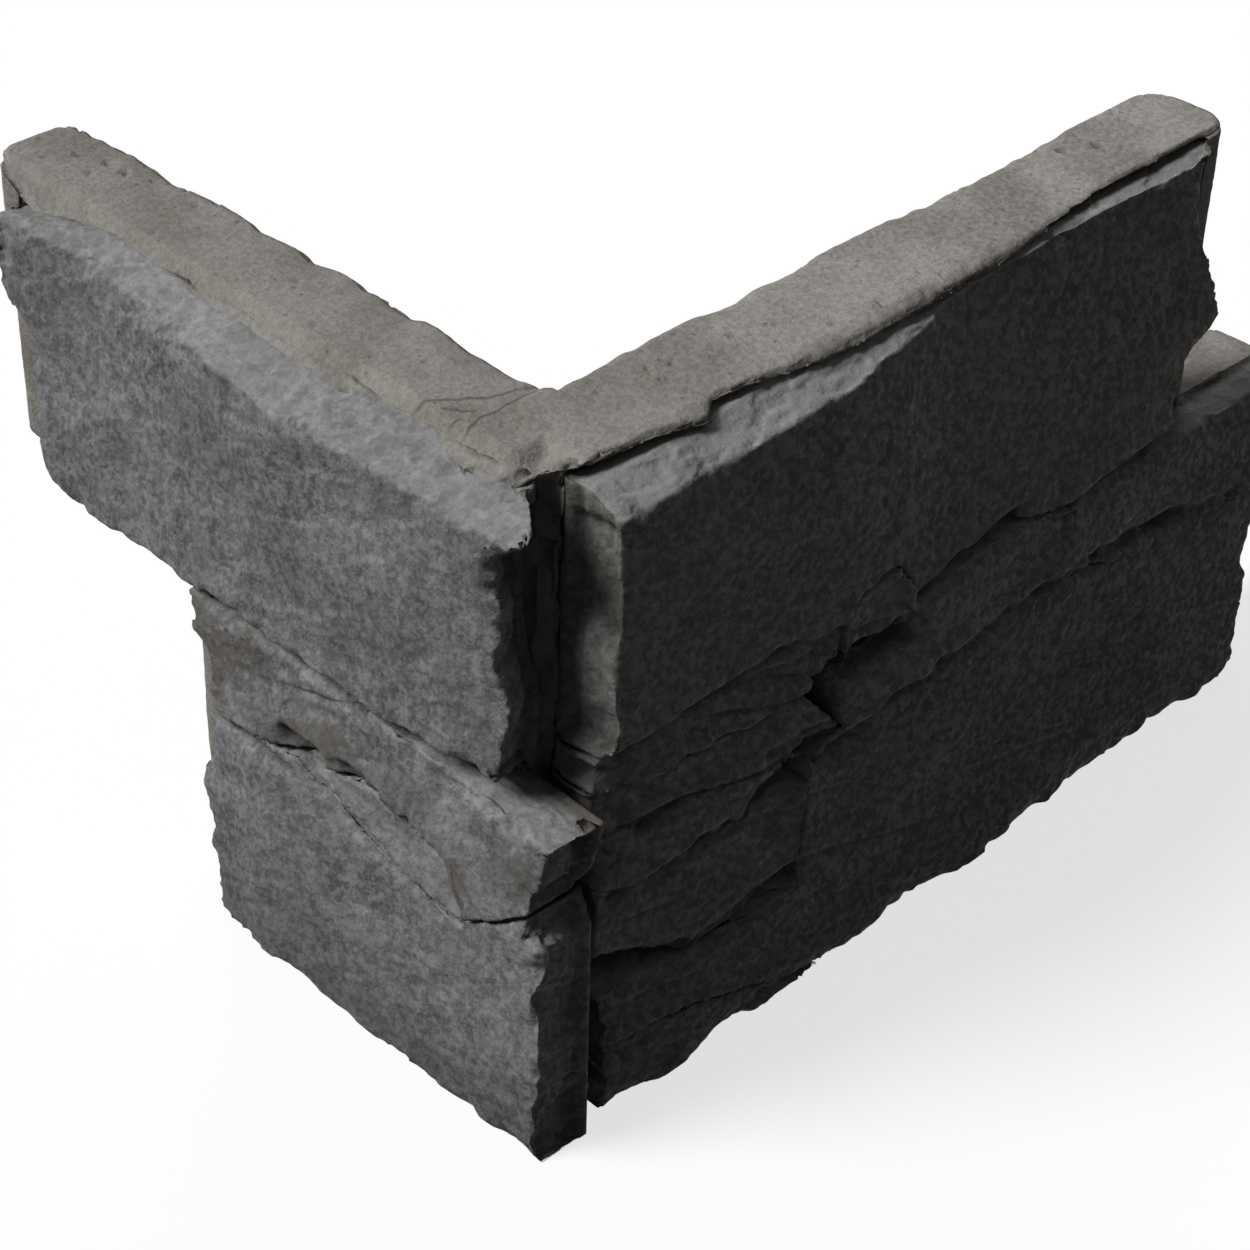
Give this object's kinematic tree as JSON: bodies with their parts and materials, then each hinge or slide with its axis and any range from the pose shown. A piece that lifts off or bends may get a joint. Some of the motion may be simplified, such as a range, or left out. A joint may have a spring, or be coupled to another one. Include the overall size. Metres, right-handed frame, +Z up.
{
  "type": "slate facade corner",
  "caption": "L-shaped corner unit of split slates bedded in a cast cement back with stepped ends, for facing the outside corner of a wall.",
  "frame": {"origin": "foot of the inner upright edge, where the corner of the wall goes", "axes": "+Z up the wall; +X along the back of the long arm; +Y along the back of the short arm; the slates face -Y and -X"},
  "size_m": [0.3317, 0.2358, 0.2],
  "materials": {
    "cement": "rough cast, pitted",
    "slate": "natural split"
  },
  "bodies": {
    "root": {"cement_back": "cement", "short_top_slab": "slate", "short_ledge": "slate", "short_wedge": "slate", "short_low_slab": "slate", "long_top_slab": "slate", "long_ledge_near": "slate", "long_ledge_far": "slate", "long_chip_top": "slate", "long_chip_middle": "slate", "long_chip_low": "slate", "long_chip_corner": "slate", "long_low_slab": "slate", "long_foot_chip": "slate"}
  },
  "joints": []
}
